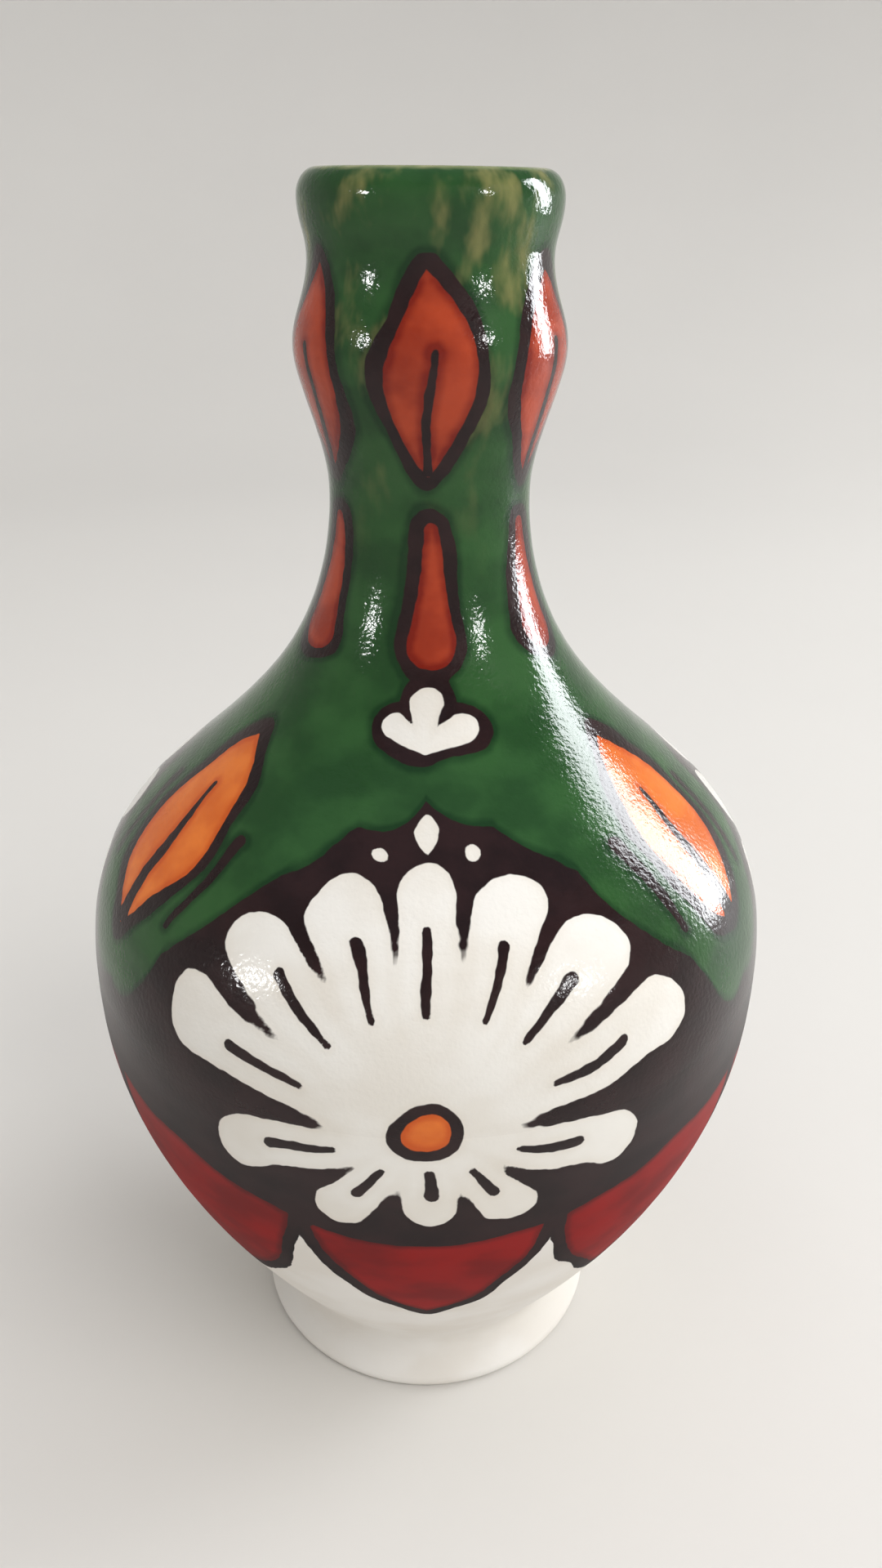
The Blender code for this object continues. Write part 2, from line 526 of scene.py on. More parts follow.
@dataclass
class Chart:
    """A flat map of the outer face, at the belly's scale, on which the ornament is drawn.

    Across runs round the pot as azimuth times the belly's radius. Up is stretched by the belly's
    radius over the local radius, so shapes keep their angles.
    """

    line: OuterLine
    turn: Array
    up: Array
    radius: Array

    @property
    def scale(self) -> Array:
        """True length of a unit of the map, row by row."""
        return self.radius / self.line.belly_radius

    def across(self, count: int, offset: float = 0.0) -> Array:
        """Return map positions across, measured from the nearest of so many even places.

        Args:
            count: How many places there are round the pot.
            offset: Share of a step to move the places by.

        Returns:
            Lengths at the belly's scale.
        """
        step = math.tau / count
        turned = self.turn - offset * step
        return self.line.belly_radius * ((turned + step / 2.0) % step - step / 2.0)

    def drawn(self, shape: Shape, across: Array) -> Array:
        """Return true distances to a shape that is given at the belly's scale."""
        return shape.distance(across, self.up) * self.scale

    def drawn_at(self, height: float, shape: Shape, across: Array) -> Array:
        """Return true distances to a shape that is given at true scale round a height.

        Args:
            height: Height above the table of the shape's zero.
            shape: The shape.
            across: Map positions across.

        Returns:
            Signed distances, negative inside.
        """
        reach = self.line.reach_at(height)
        radius = float(self.line.profile(np.array([reach]))[0, 0])
        share = radius / self.line.belly_radius
        middle = float(np.interp(reach, self.line.lengths, self.line.heights))
        found = shape.distance(across * share, (self.up - middle) * share)
        return found * self.radius / radius


def even_fields(rows: int, columns: int, inside: tuple[Paint, ...] = ()) -> dict[Paint, Array]:
    """Return fields for a face of one finish: well inside the named areas and outside the rest."""
    shape = (rows, columns)
    return {area: np.full(shape, -FAR if area in inside else FAR) for area in Paint}


PALMETTE_ROOT: Place = (0.0, 0.0040)
PETAL_BASE = 0.0017


@dataclass
class Ornament:
    """Painted bands of common leaf and flower shapes, repeated round the pot.

    Belly: cream palmettes of veined petals on a brown ground under a green scalloped arch.
    Shoulder: orange buds and cream trefoils on green. Neck: a ring of rust leaves over a ring of
    rust drops. Lower body: oxblood tongues on cream. Brown brush lines part the colours.
    """

    line: OuterLine
    repeats: int = 3
    neck_repeats: int = 6
    tongues: int = 9
    # Brush lines, and how the hand that draws them wavers
    outline: float = 0.0026
    fine_outline: float = 0.0021
    waver: float = 0.0008
    waver_length: float = 0.0160
    line_waver: float = 0.22
    line_waver_length: float = 0.0110
    shake_seed: int = 11
    lift_seed: int = 12
    line_seed: int = 13
    # Palmette, half of it, as turn, length and tip radius of each petal
    palmette: tuple[Petal, ...] = tuple(
        Petal(PALMETTE_ROOT, turn, length, PETAL_BASE, tip)
        for turn, length, tip in (
            (0.0, 0.0405, 0.0068),
            (24.0, 0.0405, 0.0067),
            (48.0, 0.0405, 0.0066),
            (72.0, 0.0405, 0.0063),
            (104.0, 0.0300, 0.0054),
            (140.0, 0.0200, 0.0046),
            (180.0, 0.0150, 0.0042),
        )
    )
    petal_blend: float = 0.0030
    vein_start: float = 0.50
    vein_length: float = 0.32
    vein_radii: tuple[float, float] = (0.0006, 0.0011)
    heart: Dot = Dot(PALMETTE_ROOT, 0.0034)
    heart_gap: Dot = Dot(PALMETTE_ROOT, 0.0053)
    pearl: Dot = Dot((0.0104, 0.0529), 0.0018)
    finial: Leaf = Leaf((0.0, 0.0585), 0.0056, 0.0027)
    # Arch over the palmette
    arch_middle: float = 0.0410
    arch_swing: float = 0.0265
    arch_spread: float = 0.0045
    arch_tip: float = 0.0050
    arch_tip_width: float = 0.0045
    arch_lobes: int = 8
    lobe_depth: float = 0.0030
    # Buds and trefoils on the shoulder
    bud: Leaf = Leaf((0.0, 0.0480), 0.0270, 0.0125)
    bud_vein: Petal = Petal((0.0, 0.0230), 0.0, 0.0320, 0.0018, 0.0008)
    bud_stroke: Petal = Petal((0.0150, 0.0270), 14.0, 0.0210, 0.0007, 0.0017)
    trefoil_height: float = 0.1430
    trefoil: tuple[Petal, ...] = (
        Petal((0.0, -0.0040), 0.0, 0.0075, 0.0009, 0.0026),
        Petal((0.0, -0.0040), 56.0, 0.0062, 0.0009, 0.0023),
    )
    # Drops and leaves on the neck
    drop_height: float = 0.1620
    drop: Petal = Petal((0.0, 0.0090), 180.0, 0.0170, 0.0012, 0.0036)
    blade_height: float = 0.1920
    blade: Leaf = Leaf((0.0, 0.0), 0.0160, 0.0064)
    blade_vein: Petal = Petal((0.0, -0.0148), 0.0, 0.0200, 0.0010, 0.0005)
    # Tongues on the lower body, under the border of the brown ground
    border_height: float = -0.0150
    border_swing: float = 0.0065
    tongue: Leaf = Leaf((0.0, -0.0120), 0.0425, 0.0200)

    def chart(self, reach: Array, azimuth: Array) -> tuple[Chart, Array]:
        """Return the map of a grid of the outer face, and how wide the brush lines run there.

        Slow ripples shake the map sideways and up, and swell the lines, as a hand does.

        Args:
            reach: Lengths along the outer line, one for each row.
            azimuth: Angles round the pot, one for each column.

        Returns:
            The map, and a grid of shares of the lines' usual width.
        """
        profile = self.line.profile(reach)
        radius = profile[:, :1]
        places = round_axis(radius, azimuth[None], profile[:, 1:])
        shake = self.waver * ripples(places, self.waver_length, self.shake_seed)
        lift = self.waver * ripples(places, self.waver_length, self.lift_seed)
        share = 1.0 + self.line_waver * ripples(places, self.line_waver_length, self.line_seed)
        up = np.interp(reach, self.line.lengths, self.line.heights)[:, None]
        up = up + lift * self.line.belly_radius / radius
        return Chart(self.line, azimuth[None] + shake / radius, up, radius), share

    def flower(self, chart: Chart, across: Array) -> Array:
        """Return the distance to a veined palmette with its finial and pearls.

        Args:
            chart: The map.
            across: Positions across, from the palmette's axis.

        Returns:
            Signed distances, negative inside.
        """
        aside = np.abs(across)
        found = np.full_like(aside, FAR)
        veins = np.full_like(aside, FAR)
        for petal in self.palmette:
            found = merged(found, petal.distance(aside, chart.up), self.petal_blend)
            vein = petal.vein(self.vein_start, self.vein_length, *self.vein_radii)
            veins = np.minimum(veins, vein.distance(aside, chart.up))
        found = np.maximum(found, -veins)
        for shape in (self.pearl, self.finial):
            found = np.minimum(found, shape.distance(aside, chart.up))
        found = np.maximum(found, -self.heart_gap.distance(aside, chart.up))
        return found * chart.scale

    def arch(self, chart: Chart, across: Array) -> Array:
        """Return the distance to the green above a scalloped arch over each palmette.

        The arch is a cosine of the azimuth with a small one of twice the azimuth, a peak over
        the palmette and shallow lobes.

        Args:
            chart: The map.
            across: Positions across, from the palmette's axis.

        Returns:
            Signed distances, negative in the green.
        """
        wave = across / chart.line.belly_radius * self.repeats
        edge = self.arch_middle + self.arch_swing * np.cos(wave)
        edge = edge - self.arch_spread * np.cos(2.0 * wave)
        edge = edge + self.arch_tip * np.exp(-np.abs(across) / self.arch_tip_width)
        edge = edge - self.lobe_depth * np.abs(np.sin(wave * self.arch_lobes / 2.0))
        slope = self.arch_swing * self.repeats / chart.line.belly_radius * np.sin(wave)
        return (edge - chart.up) * chart.scale / np.sqrt(1.0 + slope * slope)

    def fields(self, reach: Array, azimuth: Array) -> dict[Paint, Array]:
        """Return every area's signed distance over a grid of the outer face.

        Args:
            reach: Lengths along the outer line, one for each row.
            azimuth: Angles round the pot, one for each column.

        Returns:
            A grid of distances in metres for each area.
        """
        chart, share = self.chart(reach, azimuth)
        bold = self.outline * share
        fine = self.fine_outline * share
        front = chart.across(self.repeats)
        between = chart.across(self.repeats, 0.5)
        on_neck = chart.across(self.neck_repeats)

        bud = chart.drawn(self.bud, between)
        orange = np.maximum(bud, -chart.drawn(self.bud_vein, between))
        orange = np.minimum(orange, chart.drawn(self.heart, front))
        trefoil = np.full_like(front, FAR)
        for petal in self.trefoil:
            found = chart.drawn_at(self.trefoil_height, petal, np.abs(front))
            trefoil = np.minimum(trefoil, found)
        cream = np.minimum(self.flower(chart, front), trefoil)
        drop = chart.drawn_at(self.drop_height, self.drop, on_neck)
        blade = chart.drawn_at(self.blade_height, self.blade, on_neck)
        vein = chart.drawn_at(self.blade_height, self.blade_vein, on_neck)
        rust = np.minimum(drop, np.maximum(blade, -vein))

        green = self.arch(chart, front)
        green = np.maximum(green, -chart.drawn(self.bud_stroke, np.abs(between)))
        green = np.maximum(green, bold - bud)
        for motif in (trefoil, drop, blade):
            green = np.maximum(green, fine - motif)

        swing = self.border_swing * np.cos(front / chart.line.belly_radius * self.repeats)
        below = (chart.up - self.border_height + swing) * chart.scale
        red = np.maximum(chart.drawn(self.tongue, chart.across(self.tongues)), below)
        ground = merged(-below - bold, red - bold, self.outline)
        return even_fields(*ground.shape) | {
            Paint.GROUND: ground,
            Paint.GREEN: green,
            Paint.CREAM: cream,
            Paint.RED: red,
            Paint.RUST: rust,
            Paint.ORANGE: orange,
        }


@dataclass
class Body:
    """The fired body: how far its real surface strays from a true turned one.

    Attributes:
        line: The outer line.
        ornament: What is painted on it.
        columns: Points in a row round the pot.
        ring_height: Height of the throwing rings.
        ring_length: Their mean spacing.
        ring_drift: How far they stray from even spacing.
        drift_length: Length of wall over which they stray both ways once.
        ring_fade: Length at both ends of the line over which they fade.
        sway: Size of the oval sway out of round, at the belly.
        oval_start: Phase of the oval sway at the table.
        oval_twist: How that phase grows up the pot, in radians a metre.
        lobe_share: Size of the threefold sway, next to the oval one.
        lobe_twist: How its phase falls up the pot, in radians a metre.
        relief: Thickness of the paint.
        relief_edge: Half the width of the slope at its edge.
        relief_fade: Length below the lip over which the thickness fades.
    """

    line: OuterLine
    ornament: Ornament
    columns: int = 600
    ring_height: float = 0.000008
    ring_length: float = 0.0058
    ring_drift: float = 0.0016
    drift_length: float = 0.041
    ring_fade: float = 0.006
    sway: float = 0.00018
    oval_start: float = 0.7
    oval_twist: float = 9.0
    lobe_share: float = 0.6
    lobe_twist: float = 21.0
    relief: float = 0.00005
    relief_edge: float = 0.0004
    relief_fade: float = 0.010

    @property
    def azimuth(self) -> Array:
        """Angles of the columns round the pot."""
        return np.arange(self.columns) * (math.tau / self.columns)

    def turned(self, radius: Array, height: Array) -> Array:
        """Carry rows round the axis and let the fired body sway slightly out of round.

        The radius is stretched by a small cosine of twice and one of three times the azimuth.

        Args:
            radius: Radius of each row, or of each point.
            height: Height of each row, or of each point.

        Returns:
            A grid of points.
        """
        angle = self.azimuth[None]
        oval = np.cos(2.0 * angle + self.oval_start + self.oval_twist * height)
        lobes = np.cos(3.0 * angle - self.lobe_twist * height)
        swayed = 1.0 + self.sway / self.line.belly_radius * (oval + self.lobe_share * lobes)
        return round_axis(radius * swayed, angle, height)

    def rings(self, reach: Array) -> Array:
        """Return the throwing rings: a slow swell of sines whose spacing drifts up the wall.

        Args:
            reach: Lengths along the outer line.

        Returns:
            How far each row is raised.
        """
        drift = reach + self.ring_drift * np.sin(math.tau * reach / self.drift_length)
        ends = smooth_step(reach, 0.0, self.ring_fade)
        ends = ends * smooth_step(self.line.lengths[-1] - reach, 0.0, self.ring_fade)
        return self.ring_height * ends * np.sin(math.tau * drift / self.ring_length)

    def outer(self, reach: Array) -> tuple[Array, Array, dict[Paint, Array]]:
        """Return the outer face: points, normals and painted fields.

        One more row past each end takes part in the normals, so that sections which share a
        ring share its normals too.

        Args:
            reach: Lengths along the outer line, evenly spaced.

        Returns:
            Grids of points and normals, and the fields.
        """
        step = reach[1] - reach[0]
        rows = np.concatenate(([reach[0] - step], reach, [reach[-1] + step]))
        fields = self.ornament.fields(rows, self.azimuth)
        paint = smooth_step(-fields[Paint.GROUND], -self.relief_edge, self.relief_edge)
        bare = smooth_step(-fields[Paint.CREAM], -self.relief_edge, self.relief_edge)
        fade = smooth_step(self.line.lengths[-1] - rows, 0.0, self.relief_fade)[:, None]
        lift = self.relief * fade * (paint - bare) + self.rings(rows)[:, None]
        profile = self.line.profile(rows)[:, None]
        raised = profile + lift[..., None] * self.line.outward_at(rows)[:, None]
        points = self.turned(raised[..., 0], raised[..., 1])
        up = points[2:] - points[:-2]
        around = np.roll(points, -1, axis=1)[1:-1] - np.roll(points, 1, axis=1)[1:-1]
        normals = np.cross(around, up)
        normals /= np.linalg.norm(normals, axis=-1, keepdims=True)
        return points[1:-1], normals, {area: grid[1:-1] for area, grid in fields.items()}

    def plain(self, profile: Array) -> tuple[Array, Array]:
        """Return a face turned from a smooth run of profile points, with its normals.

        Args:
            profile: Radius and height of each row.

        Returns:
            Grids of points and normals.
        """
        slope = np.gradient(profile, axis=0)
        slope /= np.linalg.norm(slope, axis=1)[:, None]
        normals = round_axis(slope[:, 1:], self.azimuth[None], -slope[:, :1])
        return self.turned(profile[:, :1], profile[:, 1:]), normals


@dataclass
class Run:
    """One smooth face of a section: rows of points going round the clay, and what it wears."""

    points: Array
    normals: Array
    fields: dict[Paint, Array]
    hero: bool = False

    @property
    def lengths(self) -> Array:
        """Each row's way along the face from its first row."""
        return lengths_along(self.points[:, 0])


@dataclass
class Shell:
    """A section's closed surface, put together from runs that share their end rows.

    Rows follow each other round the clay: up the outside, over, down the inside and back. A shell
    with poles starts and ends in a point on the axis, closed by fans.

    Attributes:
        name: Name of the piece.
        runs: Its faces, in order.
        poles: Whether it ends on the axis.
        hero_share: Share of the bake map that the painted face takes.
        margin: Empty edge between the parts of the bake map.
        fan_spot: Radius of the fans on the bake map, within its upper margin.
    """

    name: str
    runs: list[Run]
    poles: bool
    hero_share: float
    margin: float = 0.006
    fan_spot: float = 0.002

    def mesh(self) -> bpy.types.Object:
        """Return an object whose mesh joins all runs, with fields, bake map and normals.

        Returns:
            The object.
        """
        points = self.joined([run.points for run in self.runs])
        fields = {area: self.joined([run.fields[area] for run in self.runs]) for area in Paint}
        rows, columns = points.shape[:2]
        vertices = points.reshape(-1, 3)
        quads, normals = self.quads(rows, columns)
        faces = quads.tolist()
        places = self.bake_map(columns)
        if self.poles:
            vertices = np.concatenate((vertices, points[[0, -1]].mean(axis=1)))
            caps, cap_normals, cap_places = self.fans(rows, columns)
            faces += caps.tolist()
            normals = np.concatenate((normals, cap_normals))
            places = np.concatenate((places, cap_places))
        made = smooth_mesh(self.name, vertices, faces)
        for area, grid in fields.items():
            values = grid.reshape(-1)
            if self.poles:
                values = np.concatenate((values, grid[[0, -1], 0]))
            layer = made.attributes.new(area.value, "FLOAT", "POINT")
            layer.data.foreach_set("value", values.astype(np.float32))
        chart = made.uv_layers.new(name="OFBake")
        chart.uv.foreach_set("vector", places.astype(np.float32).reshape(-1))
        made.normals_split_custom_set(normals.tolist())
        made.update()
        return shown(self.name, made)

    def joined(self, grids: list[Array]) -> Array:
        """Return one grid of all runs' rows, with each shared row, a closed loop's too, once."""
        rows = np.concatenate([grids[0]] + [grid[1:] for grid in grids[1:]])
        return rows if self.poles else rows[:-1]

    def quads(self, rows: int, columns: int) -> tuple[Array, Array]:
        """Return the quads between neighbouring rows, with each corner's normal.

        Args:
            rows: Rows of vertices. A closed loop's last row is followed by its first.
            columns: Points in a row.

        Returns:
            Vertex numbers of each quad, and normals, corner by corner.
        """
        first = np.arange(columns)
        second = (first + 1) % columns
        quads = []
        normals = []
        row = 0
        for run in self.runs:
            steps = len(run.points) - 1
            low = (row + np.arange(steps))[:, None] % rows * columns
            high = (row + 1 + np.arange(steps))[:, None] % rows * columns
            row += steps
            corners = np.stack((low + first, low + second, high + second, high + first), axis=-1)
            quads.append(corners.reshape(-1, 4))
            lower = run.normals[:-1]
            upper = run.normals[1:]
            corners = np.stack((lower, lower[:, second], upper[:, second], upper), axis=2)
            normals.append(corners.reshape(-1, 3))
        return np.concatenate(quads), np.concatenate(normals)

    def bake_map(self, columns: int) -> Array:
        """Return each quad corner's place on the bake map.

        The painted face takes most of the map, front half under back half; the other faces
        share a strip along its top. Margins keep a bake from mixing colours across the seams.

        Args:
            columns: Points in a row.

        Returns:
            Places, corner by corner.
        """
        first = np.arange(columns)
        half = columns // 2
        from_left = (first + columns // 4) % columns
        sheet_height = self.hero_share / 2.0
        strip_bottom = self.hero_share + self.margin
        strip_height = 1.0 - self.margin - strip_bottom
        plain_length = sum(run.lengths[-1] for run in self.runs if not run.hero)
        plain_done = 0.0
        places = []
        for run in self.runs:
            lengths = run.lengths[:, None]
            if run.hero:
                wide = (1.0 - 2.0 * self.margin) / half
                left = self.margin + from_left % half * wide
                sheet = self.margin + from_left // half * sheet_height
                level = sheet + lengths / lengths[-1] * (sheet_height - 2.0 * self.margin)
            else:
                wide = 1.0 / columns
                left = first * wide
                level = strip_bottom + (plain_done + lengths) / plain_length * strip_height
                plain_done += lengths[-1, 0]
            level = np.broadcast_to(level, (len(lengths), columns))
            bottom = level[:-1]
            top = level[1:]
            left = np.broadcast_to(left, top.shape)
            right = left + wide
            corners = np.stack((left, bottom, right, bottom, right, top, left, top), axis=-1)
            places.append(corners.reshape(-1, 2))
        return np.concatenate(places)

    def fans(self, rows: int, columns: int) -> tuple[Array, Array, Array]:
        """Return the triangles that close both poles.

        Args:
            rows: Rows of vertices; the poles are numbered after them.
            columns: Points in a row.

        Returns:
            Triangles, and normals and places on the bake map, corner by corner.
        """
        first = np.arange(columns)
        second = (first + 1) % columns
        start = columns * rows
        last = start - columns
        under = np.stack((np.full(columns, start), second, first), axis=-1)
        over = np.stack((np.full(columns, start + 1), last + first, last + second), axis=-1)
        normals = np.repeat(((0.0, 0.0, -1.0), (0.0, 0.0, 1.0)), columns * 3, axis=0)
        angle = first * math.tau / columns
        wedge = np.stack((np.cos(angle), np.sin(angle)), axis=-1)
        spots = np.stack((np.zeros_like(wedge), wedge, np.roll(wedge, -1, axis=0)), axis=1)
        spots = spots.reshape(-1, 2) * self.fan_spot + (0.5, 1.0 - self.margin / 2.0)
        return np.concatenate((under, over)), normals, np.tile(spots, (2, 1))


@dataclass
class Section:
    """One thrown section of the pot and the CAD node that it stands for.

    Attributes:
        body: The fired body.
        name: Name of the piece.
        node: The CAD node that it replaces.
        slot: Its material slot; not used.
        poles: Whether it closes on the axis.
        wall: Thickness of the clay.
        spigot: Height of the spigot that the section above fits over.
        lute: Gap that is filled with slip.
        seat_width: Width of the foot ring's top, on which the bowl sits.
        row_step: Spacing of rows on the painted face.
        inner_step: Spacing of rows on the other faces.
        hero_share: Share of the bake map that the painted face takes.
    """

    body: Body
    name: str
    node: str
    slot: str
    poles: bool = False
    wall: float = 0.0045
    spigot: float = 0.0050
    lute: float = 0.0003
    seat_width: float = 0.0065
    row_step: float = 0.00065
    inner_step: float = 0.0030
    hero_share: float = 0.92

    def rows(self, low: float, high: float, step: float) -> Array:
        """Return evenly spaced reaches from low to high, about a step apart."""
        return np.linspace(low, high, max(2, int(round(abs(high - low) / step)) + 1))

    def face(self, profile: Array | tuple[Array, Array], inside: tuple[Paint, ...] = ()) -> Run:
        """Return a face of one finish from profile points, or from the ends of a straight one."""
        points, normals = self.body.plain(np.asarray(profile, float))
        return Run(points, normals, even_fields(len(points), self.body.columns, inside))

    def painted(self, low: float, high: float) -> Run:
        """Return the painted outer face between two reaches."""
        points, normals, fields = self.body.outer(self.rows(low, high, self.row_step))
        return Run(points, normals, fields, hero=True)

    def spot(self, reach: float, depth: float) -> Array:
        """Return radius and height at a reach and a depth under the outer face."""
        return self.body.line.profile(np.array([reach]), depth)[0]

    def over_spigot(self, top: float) -> list[Run]:
        """Return the shelf, side and end of the spigot that stands up past the outer wall.

        Args:
            top: Reach at which the outer wall ends.

        Returns:
            The three faces, from outside to inside.
        """
        half = (self.wall + self.lute) / 2.0
        side = self.body.line.profile(self.rows(top, top + self.spigot, self.inner_step), half)
        shelf = self.spot(top, 0.0), side[0]
        end = side[-1], self.spot(top + self.spigot, self.wall)
        return [self.face(part) for part in (shelf, side, end)]

    def round_socket(self, bottom: float) -> list[Run]:
        """Return the socket that fits over the spigot below.

        Args:
            bottom: Reach at which the outer wall starts.

        Returns:
            The three faces, from inside to outside.
        """
        half = (self.wall - self.lute) / 2.0
        top = bottom + self.spigot
        reach = self.rows(top + self.lute, bottom + self.lute, self.inner_step)
        side = self.body.line.profile(reach, half)
        end = self.spot(top, self.wall), side[0]
        edge = side[-1], self.spot(bottom, 0.0)
        return [self.face(part) for part in (end, side, edge)]

    def lining(self, top: float, bottom: float) -> Array:
        """Return the profile of the inner face, going down."""
        return self.body.line.profile(self.rows(top, bottom, self.inner_step), self.wall)

    def runs(self) -> list[Run]:
        """Return the faces of the section, in order round the clay."""
        raise NotImplementedError

    def build(self) -> bpy.types.Object:
        """Make the section's mesh and set it in place of its CAD node.

        Returns:
            The piece.
        """
        piece = Shell(self.name, self.runs(), self.poles, self.hero_share).mesh()
        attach(piece, "root")
        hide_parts(self.node)
        return piece

    def dress(self, piece: bpy.types.Object, glaze: bpy.types.Material) -> None:
        """Give the piece its glaze."""
        piece.data.materials.append(glaze)


@dataclass
class FootRing(Section):
    """The flared ring that the pot stands on."""

    name: str = "glazed_foot_ring"
    node: str = "foot_ring"
    slot: str = "cream_slip"
    hero_share: float = 0.70
    arc_points: int = 13
    standing_points: int = 8

    def runs(self) -> list[Run]:
        """Work out flare, top, bore and the standing face between its rounded edges.

        Returns:
            The faces, in order round the clay.
        """
        seat = self.body.line.reach(Seam.FOOT)
        top = self.spot(seat, 0.0)
        bore = self.body.line.turn(Seam.FOOT).radius - self.seat_width
        bore_top = np.array((bore, top[1] - self.lute))
        inner_arc = self.edge(bore + FOOT_EDGE, math.pi, 1.5 * math.pi)
        outer_arc = self.edge(FOOT_RADIUS - FOOT_EDGE, -0.5 * math.pi, FOOT_LEAN)
        outer_arc[-1] = self.spot(0.0, 0.0)
        standing = np.linspace(inner_arc[-1], outer_arc[0], self.standing_points)
        return [
            self.painted(0.0, seat),
            self.face((top, bore_top)),
            self.face((bore_top, inner_arc[0])),
            self.face(inner_arc),
            self.face(standing, (Paint.CLAY,)),
            self.face(outer_arc),
        ]

    def edge(self, radius: float, start: float, end: float) -> Array:
        """Return an arc of the rounded edge, whose centre has a radius, between two angles."""
        angle = np.linspace(start, end, self.arc_points)
        return np.column_stack((np.cos(angle), np.sin(angle))) * FOOT_EDGE + (radius, FOOT_EDGE)


@dataclass
class Bowl(Section):
    """The lower body with its floor, which closes the pot below."""

    name: str = "painted_bowl"
    node: str = "bowl"
    slot: str = "oxblood_and_cream"
    poles: bool = True
    row_step: float = 0.00070
    inner_step: float = 0.0045
    boss: float = 0.0025
    floor: float = 0.0055
    floor_sweep: float = 0.0160
    floor_points: int = 14
    base_points: int = 5
    pole_radius: float = 0.0005

    def runs(self) -> list[Run]:
        """Work out underside, boss, outer wall, spigot, lining and floor.

        Returns:
            The faces, in order round the clay.
        """
        foot = self.body.line.turn(Seam.FOOT)
        seat = self.body.line.reach(Seam.FOOT)
        belly = self.body.line.reach(Seam.BELLY)
        base = foot.height - self.boss
        boss_radius = foot.radius - self.seat_width - self.lute
        underside = np.linspace((self.pole_radius, base), (boss_radius, base), self.base_points)
        corner = np.array((boss_radius, foot.height))
        lining = self.lining(belly + self.spigot, seat + self.floor_sweep)
        return [
            self.face(underside),
            self.face((underside[-1], corner)),
            self.face((corner, self.spot(seat, 0.0))),
            self.painted(seat, belly),
            *self.over_spigot(belly),
            self.face(np.vstack((lining, self.floor_curve(lining, foot.height)[1:]))),
        ]

    def floor_curve(self, lining: Array, seat_height: float) -> Array:
        """Return the inside from the end of the lining to the middle of the floor, as a cubic.

        Args:
            lining: Profile of the inner wall, going down.
            seat_height: Height at which the bowl sits on the foot ring.

        Returns:
            Radius and height of points along the curve.
        """
        start = lining[-1]
        way = (start - lining[-2]) / np.linalg.norm(start - lining[-2])
        level = seat_height + self.floor
        leaving = start + (start[1] - level) * way
        arriving = np.array((start[0] / 2.0, level))
        end = np.array((self.pole_radius, level))
        return cubic(start, leaving, arriving, end, self.floor_points)


@dataclass
class Shoulder(Section):
    """The upper body, from the belly to the root of the neck."""

    name: str = "painted_shoulder"
    node: str = "shoulder"
    slot: str = "leaf_green"
    low: Seam = Seam.BELLY
    high: Seam = Seam.NECK_ROOT

    def runs(self) -> list[Run]:
        """Work out outer wall, spigot, lining and socket.

        Returns:
            The faces, in order round the clay.
        """
        bottom = self.body.line.reach(self.low)
        top = self.body.line.reach(self.high)
        return [
            self.painted(bottom, top),
            *self.over_spigot(top),
            self.face(self.lining(top + self.spigot, bottom + self.spigot)),
            *self.round_socket(bottom),
        ]


@dataclass
class Neck(Shoulder):
    """The slim waisted tube above the shoulder."""

    name: str = "painted_neck"
    node: str = "neck"
    slot: str = "moss_green"
    low: Seam = Seam.NECK_ROOT
    high: Seam = Seam.WAIST
    row_step: float = 0.00055


@dataclass
class Mouth(Section):
    """The bulged mouth, whose wall rolls over into a round lip.

    Attributes:
        lining_step: Spacing of rows on the lining.
        lip_roll: Width of the lip outside its crest.
        lip_crest: Height of the crest above the wall's end.
        lip_points: Rows on each side of the crest.
        thin_rim: Half the width of the pale band along the crest, which stands for thin glaze and
            partly for a painted highlight.
        hem_depth: Mean depth below the lip at which the green ends inside.
        hem_waves: Height and count of the waves along the green's lower edge.
    """

    name: str = "painted_mouth"
    node: str = "mouth"
    slot: str = "bottle_green"
    row_step: float = 0.00050
    hero_share: float = 0.72
    lining_step: float = 0.0015
    lip_roll: float = 0.0031
    lip_crest: float = 0.0039
    lip_points: int = 24
    thin_rim: float = 0.0012
    hem_depth: float = 0.0100
    hem_waves: tuple[tuple[float, int], ...] = ((0.0016, 3), (0.0008, 11))

    def runs(self) -> list[Run]:
        """Work out outer wall, lip, lining with its green hem, and socket.

        Returns:
            The faces, in order round the clay.
        """
        line = self.body.line
        bottom = line.reach(Seam.WAIST)
        top = line.reach(Seam.LIP)
        down = self.rows(top, bottom + self.spigot, self.lining_step)
        lining = self.face(line.profile(down, self.wall))
        hem = np.full(self.body.columns, self.hem_depth)
        for size, count in self.hem_waves:
            hem += size * np.sin(count * self.body.azimuth)
        for area in (Paint.GROUND, Paint.GREEN):
            lining.fields[area] = (top - down)[:, None] - hem
        return [self.painted(bottom, top), self.lip(top), lining, *self.round_socket(bottom)]

    def lip(self, top: float) -> Run:
        """Return the lip: a wide quarter of an ellipse up to the crest and a narrow one down.

        Args:
            top: Reach at which the wall ends and the lip starts.

        Returns:
            The run over the lip.
        """
        start = self.spot(top, 0.0)
        crest = start[0] - self.lip_roll
        angle = np.linspace(0.0, math.pi / 2.0, self.lip_points)
        out = np.column_stack((crest + self.lip_roll * np.cos(angle), np.sin(angle)))
        back = np.column_stack((crest - (self.wall - self.lip_roll) * np.sin(angle), np.cos(angle)))
        profile = np.vstack((out, back[1:]))
        profile[:, 1] = start[1] + self.lip_crest * profile[:, 1]
        profile[-1] = self.spot(top, self.wall)
        rolled = self.face(profile, (Paint.GROUND, Paint.GREEN))
        # The pale band along the crest stands for thin glaze and partly for a painted highlight on
        # the lip's edge
        lengths = lengths_along(profile)
        away = np.abs(lengths - lengths[self.lip_points - 1]) - self.thin_rim
        rolled.fields[Paint.RIM] = np.repeat(away[:, None], self.body.columns, axis=1)
        return rolled


